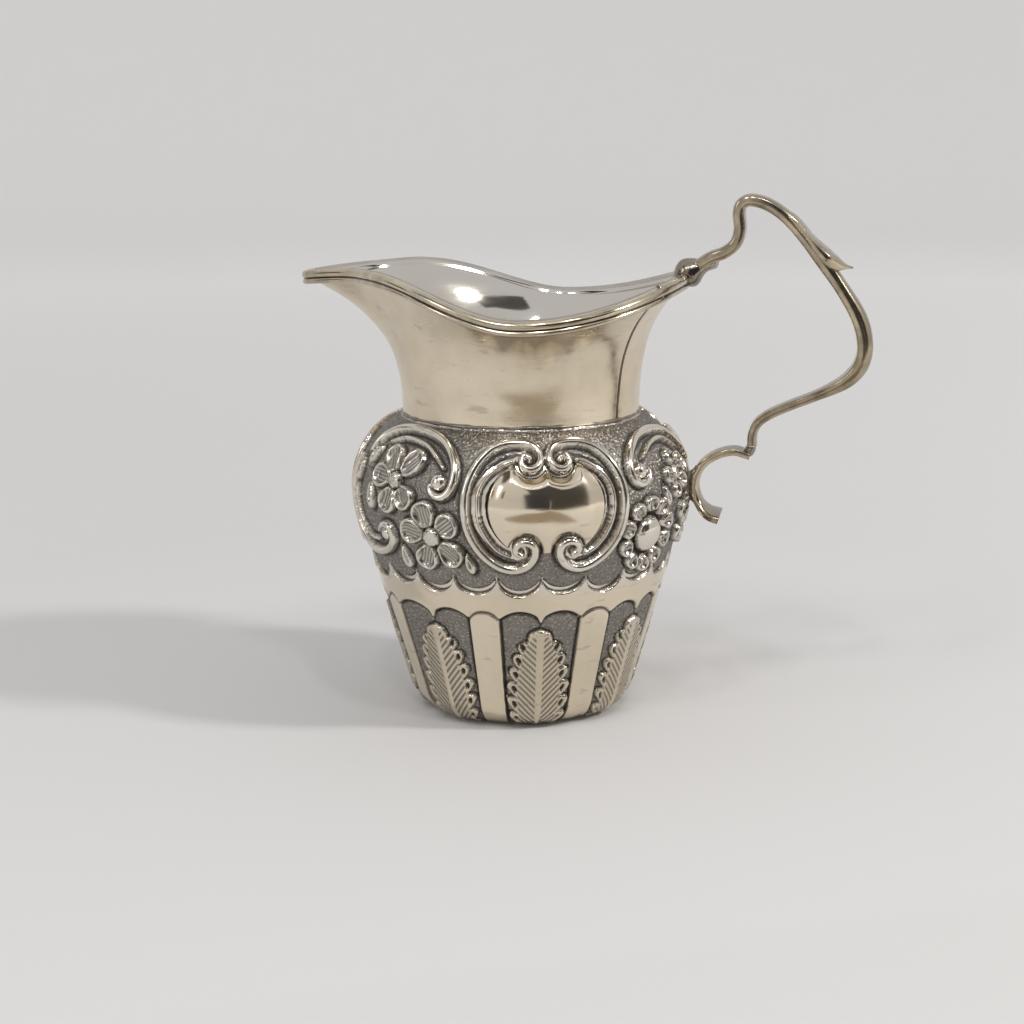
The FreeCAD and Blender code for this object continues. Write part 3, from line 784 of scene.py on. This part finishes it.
def bar(name, route, shape, count, flatness, turns):
    """A forged bar along a route in the XZ plane.

    shape(t) gives (width, thickness, crown) at a fraction of the way. The section is flat on the right of
    the route, or round if flatness is 1, and crowned on the left by 0 (flat) to 1 (round).
    """
    line = curve_through(route, count)
    step = np.gradient(line, axis=0)
    step /= np.linalg.norm(step, axis=-1, keepdims=True)
    left = np.stack([-step[:, 1], step[:, 0]], axis=-1)
    way = np.concatenate([[0], np.cumsum(np.linalg.norm(np.diff(line, axis=0), axis=-1))])
    way /= way[-1]
    turn = np.linspace(0, 2 * np.pi, turns, endpoint=False)
    cosine, sine = np.cos(turn), np.sin(turn)
    vertices = []
    for k in range(count):
        width, thickness, crown = shape(way[k])
        across = width / 2 * np.sign(cosine) * np.abs(cosine) ** (0.2 + 0.8 * flatness)
        flat = np.abs(sine) ** flatness
        round_side = np.abs(sine) ** (flatness + (1 - flatness) * crown)
        depth = thickness / 2 * np.where(sine > 0, round_side * (1 + crown), -flat)
        x = line[k, 0] + left[k, 0] * depth
        z = line[k, 1] + left[k, 1] * depth
        vertices.append(np.stack([x, across, z], axis=-1))
    vertices = np.vstack(vertices)
    faces = [tuple(f) for f in grid_faces(count, turns, True)]
    faces.append(tuple(range(turns)))
    faces.append(tuple(range(count * turns - 1, (count - 1) * turns - 1, -1)))
    piece = mesh_piece(name, vertices, faces)
    # the flat faces, which the handle's silver paints dark as a reflection of the dark room
    paint(piece, "flat", np.tile(smooth(np.abs(sine), 0.72, 0.95), count))
    return piece


def strap_shape(t):
    """A flat strap, heavy and half round at the back, thin again where it runs down to the notch."""
    bow = smooth(t, 0.44, 0.60) * (1 - smooth(t, 0.66, 0.80))
    tail = smooth(t, 0.70, 0.82)
    width = 4.7 + 0.4 * smooth(t, 0.1, 0.3) + 1.2 * bow - 1.0 * tail
    root = bell(t - 0.43, 0.05)
    return width, 1.80 + 0.10 * bow - 0.42 * tail + 0.30 * root, 0.25 + 0.5 * bow


def leaf_shape(t):
    """The thumb leaf: it spreads over the strap and ends in a point that flicks out."""
    start = smooth(t, -0.05, 0.25)
    width = (3.4 + 1.5 * start) + 3.8 * math.sin(math.pi * min(t, 0.70) / 1.40) ** 1.5
    if t > 0.70:
        width *= max(1 - ((t - 0.70) / 0.30) ** 1.6, 0.06)
    swell = smooth(t, 0.40, 0.72) * (1 - smooth(t, 0.78, 1.0))
    thin = 1 - 0.65 * smooth(t, 0.84, 1.0)
    return width, (0.35 + 0.75 * start + 0.90 * swell - 0.30 * t) * thin, 0.35


def scroll_shape(t):
    """The lower scroll: a thin strap that flares to a square end."""
    flare = smooth(t, 0.72, 1.0)
    swell = math.sin(math.pi * t)
    return 4.4 + 0.3 * swell + 4.4 * flare, 1.10 + 0.15 * swell + 0.25 * flare, 0.3


KNUCKLE_ROUTE = [(25.2, 71.0), (27.1, 72.9), (29.1, 74.2), (31.2, 75.2), (33.2, 76.6)]
NOTCH_ROUTE = [(38.8, 45.9), (38.6, 45.0), (38.2, 44.2), (37.5, 43.9)]
BRIDGE_ROUTE = [(27.2, 38.4), (28.3, 38.4), (29.5, 38.4)]


def knuckle_shape(t):
    """Two soft lobes with a waist between them, like a knot in the strap's end."""
    first = bell(t - 0.40, 0.24)
    second = bell(t - 0.84, 0.10)
    ends = math.sqrt(max(1 - (2 * t - 1) ** 4, 0.003))
    return (3.4 + 2.6 * first + 1.4 * second) * ends, (1.2 + 3.5 * first + 1.5 * second) * ends, 0.1


def notch_shape(t):
    """A small run of solder, thickest in its middle."""
    swell = math.sqrt(max(1 - (2 * t - 1) ** 2, 0.02))
    return 3.8 * swell + 0.3, 1.75 * swell, 0.0


def bridge_shape(t):
    """A waist between the bulb and the scroll."""
    waist = 1 - 0.28 * math.sin(math.pi * t) ** 0.8
    return 4.2 * waist, 6.8 * waist, 0.0


# Each bar of the handle as (name, route, shape, stations, flatness, sides, node, slot): the strap, the thumb
# leaf, the lower scroll, the knuckle at the rim, and the solder at the scroll's two joints.
BARS = [
    ("handle_bow", STRAP_ROUTE, strap_shape, 220, 0.35, 28, "handle_strap", "wire_silver"),
    ("thumb_rest", THUMB_ROUTE, leaf_shape, 90, 0.35, 28, "thumb_leaf", "wire_silver"),
    ("foot_scroll", SCROLL_ROUTE, scroll_shape, 110, 0.35, 28, "lower_scroll", "wire_silver"),
    ("rim_knot", KNUCKLE_ROUTE, knuckle_shape, 70, 0.9, 40, "rim_knuckle", "wire_silver"),
    ("notch_fillet", NOTCH_ROUTE, notch_shape, 30, 0.9, 28, "notch_solder", "solder"),
    ("scroll_bridge", BRIDGE_ROUTE, bridge_shape, 24, 0.8, 28, "body_pad", "solder"),
]


def make_handle():
    """The whole handle, bar by bar."""
    for name, route, shape, stations, flatness, sides, node, slot_name in BARS:
        add_piece(bar(name, route, shape, stations, flatness, sides), node)


class Nodes:
    """A material's node tree, built by name."""

    def __init__(self, name):
        self.material = bpy.data.materials.new(name)
        self.material.use_nodes = True
        self.tree = self.material.node_tree
        self.shader = self.tree.nodes["Principled BSDF"]

    def add(self, kind, **settings):
        node = self.tree.nodes.new(kind)
        for key, value in settings.items():
            setattr(node, key, value)
        return node

    def link(self, source, target):
        self.tree.links.new(source, target)

    def texture(self, kind, scale, stretch=(1, 1, 1)):
        """A texture over the object's own coordinates, in cells of 1/scale metres."""
        mapping = self.add("ShaderNodeMapping")
        mapping.inputs["Scale"].default_value = stretch
        self.link(self.add("ShaderNodeTexCoord").outputs["Object"], mapping.inputs["Vector"])
        node = self.add(kind)
        node.inputs["Scale"].default_value = scale
        self.link(mapping.outputs["Vector"], node.inputs["Vector"])
        return node

    def noise(self, scale, detail, roughness=0.5, stretch=(1, 1, 1)):
        """Cloudy noise, finer with more detail."""
        node = self.texture("ShaderNodeTexNoise", scale, stretch)
        node.inputs["Detail"].default_value = detail
        node.inputs["Roughness"].default_value = roughness
        return node.outputs["Fac"]

    def ramp(self, source, low, high, start, end):
        """Maps a number from one range to another."""
        node = self.add("ShaderNodeMapRange")
        ends = {"From Min": low, "From Max": high, "To Min": start, "To Max": end}
        for name, value in ends.items():
            node.inputs[name].default_value = value
        self.link(source, node.inputs["Value"])
        return node.outputs["Result"]

    def maths(self, operation, a, b):
        """One number from two, each a node's output or a plain value."""
        node = self.add("ShaderNodeMath", operation=operation)
        for socket, value in zip(node.inputs, (a, b)):
            if isinstance(value, (int, float)):
                socket.default_value = value
            else:
                self.link(value, socket)
        return node.outputs["Value"]

    def blend(self, factor, a, b):
        """One colour to another by a factor."""
        node = self.add("ShaderNodeMix", data_type="RGBA")
        self.link(factor, node.inputs["Factor"])
        for name, value in (("A", a), ("B", b)):
            socket = [s for s in node.inputs if s.name == name and s.type == "RGBA"][0]
            if isinstance(value, tuple):
                socket.default_value = (*value, 1)
            else:
                self.link(value, socket)
        return [s for s in node.outputs if s.type == "RGBA"][0]

    def mask(self, name):
        """A number painted on the mesh."""
        return self.add("ShaderNodeAttribute", attribute_name=name).outputs["Fac"]

    def bump(self, heights, distance, strength):
        node = self.add("ShaderNodeBump")
        node.inputs["Strength"].default_value = strength
        node.inputs["Distance"].default_value = distance
        self.link(heights, node.inputs["Height"])
        self.link(node.outputs["Normal"], self.shader.inputs["Normal"])


# The warm silver is partly the metal's own tone and partly a painted reflection of the warm room round it.
SILVER_AND_WARM_REFLECTION = (0.81, 0.72, 0.57)
COOL_SILVER = (0.80, 0.75, 0.67)
CLEAN_SILVER = (0.68, 0.64, 0.58)
TARNISH = (0.46, 0.36, 0.22)
BROWN = (0.22, 0.18, 0.13)
# Near black for the chased cuts and the groove between the rim's beads: painted shade together with dirt.
SHADE_AND_SOOT = (0.030, 0.027, 0.025)


def stained(m, tone, clouds):
    """A tone with clouds of tarnish and brown specks."""
    specks = m.ramp(m.noise(420, 3.0, 0.6, (0.45, 0.45, 1.6)), 0.62, 0.72, 0.0, 0.35)
    return m.blend(specks, m.blend(clouds, tone, TARNISH), BROWN)


def polished_silver(name, roughness, tone, warmth):
    """Worn polished silver with fine handling marks that run level; keeps its colour and its marks."""
    m = Nodes(name)
    m.shader.inputs["Metallic"].default_value = 1
    colour = stained(m, tone, m.ramp(m.noise(45, 5.0, 0.65), 0.40, 0.75, 0.0, warmth))
    m.link(colour, m.shader.inputs["Base Color"])
    m.marks = m.noise(260, 6.0, 0.75, (0.3, 0.3, 2.2))
    m.link(m.ramp(m.marks, 0.3, 0.75, roughness * 0.7, roughness * 1.7), m.shader.inputs["Roughness"])
    m.bump(m.noise(520, 4.0, 0.6, (0.25, 0.25, 1.8)), 0.00002, 0.6)
    m.colour = colour
    return m


def plain_silver():
    """The collar: tarnished and softly scratched outside, with a warm tone that is partly a painted
    reflection of the warm room; bright and cleaner inside.
    """
    m = polished_silver("plain_silver", 0.20, SILVER_AND_WARM_REFLECTION, 0.62)
    inside = m.mask("inside")
    m.link(m.blend(inside, m.colour, CLEAN_SILVER), m.shader.inputs["Base Color"])
    worn = m.ramp(m.marks, 0.3, 0.75, 0.16, 0.32)
    m.link(m.maths("MULTIPLY", worn, m.ramp(inside, 0, 1, 1.0, 0.35)), m.shader.inputs["Roughness"])
    return m.material


def chased_silver():
    """The bulb: polished on the high places, punched and darkened in the ground, painted near black with
    shade and dirt in the cuts.
    """
    m = Nodes("chased_silver")
    m.shader.inputs["Metallic"].default_value = 1
    matt, dark = m.mask("matt"), m.mask("dark")
    # the warm tone is partly a painted reflection of the warm room
    tone = m.blend(m.mask("warm"), COOL_SILVER, SILVER_AND_WARM_REFLECTION)
    polished = stained(m, tone, m.ramp(m.noise(60, 4.0, 0.6), 0.42, 0.78, 0.0, 0.35))
    # each punched dot lies round one of a scatter of points
    dots = m.ramp(m.texture("ShaderNodeTexVoronoi", 2300).outputs["Distance"], 0.0, 0.6, 1.0, 0.0)
    # painted glints: the middles of some punched dots are painted bright
    sparkle = m.ramp(m.noise(2300, 2.0, 0.7), 0.35, 0.65, 0.0, 1.0)
    punched_with_glints = m.blend(m.maths("MULTIPLY", dots, sparkle), (0.25, 0.23, 0.205), (0.72, 0.68, 0.62))
    colour = m.blend(matt, polished, punched_with_glints)
    # the dark mask paints shade and dirt into the cuts
    colour = m.blend(m.ramp(dark, 0.1, 0.95, 0.0, 0.94), colour, SHADE_AND_SOOT)
    m.link(colour, m.shader.inputs["Base Color"])
    rough = m.ramp(matt, 0, 1, 0.11, 0.36)
    rough = m.maths("ADD", rough, m.ramp(dark, 0.1, 0.9, 0.0, 0.25))
    rough = m.maths("ADD", rough, m.ramp(m.noise(240, 6.0, 0.7), 0.35, 0.75, 0.0, 0.06))
    m.link(rough, m.shader.inputs["Roughness"])
    stipple = m.maths("MULTIPLY", m.maths("MULTIPLY", dots, -1.0), matt)
    m.bump(stipple, 0.00013, 1.0)
    return m.material


def wire_silver(name, tone, brown):
    """The rim and handle: worn gold edges, brown clouds, flat faces painted dark as a reflection of the dark
    room, and painted shade and dirt between the rim's beads.
    """
    m = polished_silver(name, 0.15, tone, 0.6)
    brown_clouds_and_dark_reflection = m.ramp(m.noise(170, 5.0, 0.65), 0.40, 0.66, 0.0, brown)
    # the flat faces are painted dark as a reflection of the dark room
    brown_clouds_and_dark_reflection = m.maths("MAXIMUM", brown_clouds_and_dark_reflection, m.ramp(m.mask("flat"), 0, 1, 0.0, 0.72))
    colour = m.blend(brown_clouds_and_dark_reflection, m.colour, (0.12, 0.10, 0.08))
    # painted shade and dirt in the groove between the rim's beads
    groove = m.ramp(m.mask("groove"), 0.2, 0.9, 0.0, 0.95)
    m.link(m.blend(groove, colour, SHADE_AND_SOOT), m.shader.inputs["Base Color"])
    return m.material


def solder_silver(name, tone):
    """The solder: grey, dull and pitted."""
    m = polished_silver(name, 0.30, tone, 0.6)
    m.link(m.blend(m.noise(600, 4.0), m.colour, (0.10, 0.09, 0.08)), m.shader.inputs["Base Color"])
    return m.material


WEARERS = {
    "chased_silver": ["chased_bulb"],
    "plain_silver": ["base_disc", "flared_collar"],
    "wire_silver": ["beaded_rim"],
    "handle_silver": ["handle_bow", "thumb_rest", "foot_scroll"],
    "solder": ["base_solder", "neck_bead", "notch_fillet", "scroll_bridge"],
    "seam_silver": ["collar_seam"],
    "knot_silver": ["rim_knot"],
}


def dress():
    """Puts each material on its pieces."""
    materials = {
        "chased_silver": chased_silver(),
        "plain_silver": plain_silver(),
        "wire_silver": wire_silver("wire_silver", (0.74, 0.66, 0.52), 0.45),
        # The handle's copy is darker than the rim's: more brown clouds, and a painted dark reflection of the
        # room.
        "handle_silver": wire_silver("handle_silver", (0.58, 0.50, 0.37), 0.65),
        "solder": solder_silver("solder", (0.42, 0.38, 0.33)),
        "seam_silver": solder_silver("seam_silver", (0.10, 0.085, 0.07)),
        "knot_silver": wire_silver("knot_silver", (0.44, 0.41, 0.37), 0.85),
    }
    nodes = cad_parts
    for finish, names in WEARERS.items():
        for name in names:
            piece = nodes[name] if name in nodes else bpy.data.objects[name]
            if not piece.material_slots:
                piece.data.materials.append(None)
            piece.material_slots[0].link = "OBJECT"
            piece.material_slots[0].material = materials[finish]


LOOK_AT = Vector((0, 0, 0.03295))

# The lights as (name, place, width, height, power in watts, colour), in metres. All face the jug.
WHITE = (1, 1, 1)
LIGHTS = [
    ("key", (0.75, -0.14, 0.66), 0.10, 0.10, 4.2, (1.0, 0.98, 0.95)),
    ("window_left", (-0.16, -0.46, 0.60), 0.05, 0.14, 0.5, WHITE),
    ("window_middle", (0.02, -0.44, 0.66), 0.05, 0.09, 0.4, WHITE),
    ("window_right", (0.20, -0.34, 0.66), 0.05, 0.12, 0.5, WHITE),
    ("front_left", (-0.55, -0.45, 0.35), 0.10, 0.3, 0.4, WHITE),
]

# Boards that face the jug and only show as reflections in the silver: (name, place, width, height, shade).
BOARDS = [
    ("room_front", (0.30, -0.66, 0.40), 0.46, 0.34, (0.05, 0.05, 0.055)),
    ("person", (0.16, -0.55, 0.13), 0.26, 0.24, (0.04, 0.04, 0.045)),
    ("room_right", (0.42, -0.38, 0.17), 0.36, 0.34, (0.06, 0.055, 0.05)),
    ("wood", (-0.34, -0.62, 0.30), 0.20, 0.16, (0.30, 0.20, 0.09)),
    ("door", (-0.62, -0.10, 0.16), 0.16, 0.30, (0.12, 0.10, 0.08)),
    ("beam_front", (-0.07, -0.42, 0.52), 0.09, 0.12, (0.04, 0.04, 0.04)),
    ("beam_left", (-0.36, -0.22, 0.62), 0.20, 0.34, (0.07, 0.065, 0.06)),
    ("beam_right", (0.40, -0.16, 0.60), 0.14, 0.34, (0.10, 0.10, 0.10)),
]

# The same, but lying on the floor, each with its turn in degrees.
FLOOR_BOARDS = [
    ("near_floor", (0.055, -0.155, 0.003), 0.13, 0.12, (0.26, 0.21, 0.15), 28),
    ("table_edge", (0.26, -0.42, 0.004), 0.34, 0.36, (0.05, 0.045, 0.04), 0),
]


def put(name, data, place, rotation):
    """A new object in the scene."""
    thing = bpy.data.objects.new(name, data)
    thing.location = place
    thing.rotation_euler = rotation
    bpy.context.scene.collection.objects.link(thing)
    return thing


def facing(place, front):
    """The rotation that turns a thing's front axis from a place to the jug."""
    return (LOOK_AT - Vector(place)).to_track_quat(front, "Y").to_euler()


def dark_board(name, place, width, height, shade, rotation):
    """A board that lights and camera don't see."""
    mesh = bpy.data.meshes.new(name)
    w, h = width / 2, height / 2
    mesh.from_pydata([(-w, -h, 0), (w, -h, 0), (w, h, 0), (-w, h, 0)], [], [(0, 1, 2, 3)])
    board = put(name, mesh, place, rotation)
    cover = Nodes(name)
    cover.shader.inputs["Base Color"].default_value = (*shade, 1)
    cover.shader.inputs["Roughness"].default_value = 0.9
    mesh.materials.append(cover.material)
    board.visible_camera = False
    board.visible_shadow = False
    board.visible_diffuse = False


def make_lights():
    """Soft rectangular lights, and the boards between them."""
    for name, place, width, height, power, colour in LIGHTS:
        light = bpy.data.lights.new(name, "AREA")
        light.shape = "RECTANGLE"
        light.size = width
        light.size_y = height
        light.energy = power
        light.color = colour
        put(name, light, place, facing(place, "-Z"))
    for name, place, width, height, shade in BOARDS:
        dark_board(name, place, width, height, shade, facing(place, "Z"))
    for name, place, width, height, shade, turn in FLOOR_BOARDS:
        dark_board(name, place, width, height, shade, (0, 0, math.radians(turn)))


FLAT_RADIUS = 1.2
FLOOR_BEND = 0.55
FLOOR_SIDES = 96
FLOOR_NEAR = (0.61, 0.60, 0.595)
FLOOR_FAR = (0.87, 0.86, 0.85)


def make_floor():
    """A pale floor that curves up all round, with painted light making it a little paler towards its edge.
    """
    mesh = bpy.data.meshes.new("floor")
    profile = [(0.01, 0.0), (0.3, 0.0), (0.6, 0.0), (0.9, 0.0), (FLAT_RADIUS, 0.0)]
    for lean in np.linspace(0.1, math.pi / 2, 14):
        profile.append((FLAT_RADIUS + FLOOR_BEND * math.sin(lean), FLOOR_BEND * (1 - math.cos(lean))))
    turn = np.linspace(0, 2 * np.pi, FLOOR_SIDES, endpoint=False)
    vertices = [(r * math.cos(t), r * math.sin(t), z) for r, z in profile for t in turn]
    faces = grid_faces(len(profile), FLOOR_SIDES, True).tolist()
    faces.append(list(range(FLOOR_SIDES)))
    mesh.from_pydata(vertices, [], faces)
    mesh.shade_smooth()
    floor = put("floor", mesh, (0, 0, 0), (0, 0, 0))
    pale = Nodes("pale_floor")
    distance = pale.add("ShaderNodeVectorMath", operation="LENGTH")
    pale.link(pale.add("ShaderNodeTexCoord").outputs["Object"], distance.inputs["Vector"])
    # painted light: the floor is painted paler further from the jug
    away = pale.ramp(distance.outputs["Value"], 0.15, 0.8, 0.0, 1.0)
    pale.link(pale.blend(away, FLOOR_NEAR, FLOOR_FAR), pale.shader.inputs["Base Color"])
    pale.shader.inputs["Roughness"].default_value = 0.75
    floor.data.materials.append(pale.material)


ROOM_LOW = (0.62, 0.60, 0.56, 1)
ROOM_HIGH = (0.72, 0.72, 0.73, 1)
ROOM_STRENGTH = 0.93


def make_room():
    """The even light of a room, cooler overhead."""
    world = bpy.data.worlds.new("soft_room")
    world.use_nodes = True
    tree = world.node_tree
    place = tree.nodes.new("ShaderNodeTexCoord")
    split = tree.nodes.new("ShaderNodeSeparateXYZ")
    ramp = tree.nodes.new("ShaderNodeValToRGB")
    background = tree.nodes["Background"]
    tree.links.new(place.outputs["Generated"], split.inputs["Vector"])
    tree.links.new(split.outputs["Z"], ramp.inputs["Fac"])
    tree.links.new(ramp.outputs["Color"], background.inputs["Color"])
    low, high = ramp.color_ramp.elements
    low.position, low.color = 0.0, ROOM_LOW
    high.position, high.color = 0.8, ROOM_HIGH
    background.inputs["Strength"].default_value = ROOM_STRENGTH
    bpy.context.scene.world = world
    bpy.context.scene.view_settings.view_transform = "Standard"


CAMERA_DISTANCE = 0.340
CAMERA_ELEVATION = math.radians(11.8)
CAMERA_AZIMUTH = math.radians(10)
CAMERA_ROLL = math.radians(-0.4)
FRAME_PIXELS = 1024
LENS_PIXELS = 2000
SHIFT_PIXELS = -9.65
SENSOR_WIDTH = 36


def make_camera():
    """The camera, to the right of the jug's side and a little above it."""
    camera = bpy.data.cameras.new("camera")
    camera.sensor_width = SENSOR_WIDTH
    camera.lens = LENS_PIXELS / FRAME_PIXELS * SENSOR_WIDTH
    camera.shift_x = SHIFT_PIXELS / FRAME_PIXELS
    camera.clip_start = 0.01
    camera.clip_end = 10
    way = Vector((
        math.sin(CAMERA_AZIMUTH) * math.cos(CAMERA_ELEVATION),
        -math.cos(CAMERA_AZIMUTH) * math.cos(CAMERA_ELEVATION),
        math.sin(CAMERA_ELEVATION),
    ))
    turn = (-way).to_track_quat("-Z", "Y").to_matrix() @ Matrix.Rotation(CAMERA_ROLL, 3, "Z")
    eye = put("camera", camera, LOOK_AT + way * CAMERA_DISTANCE, turn.to_euler())
    bpy.context.scene.camera = eye


chase_the_bulb()
make_bulb()
make_collar()
make_neck_bead()
make_rim()
make_handle()
dress()
make_floor()
make_room()
make_lights()
make_camera()
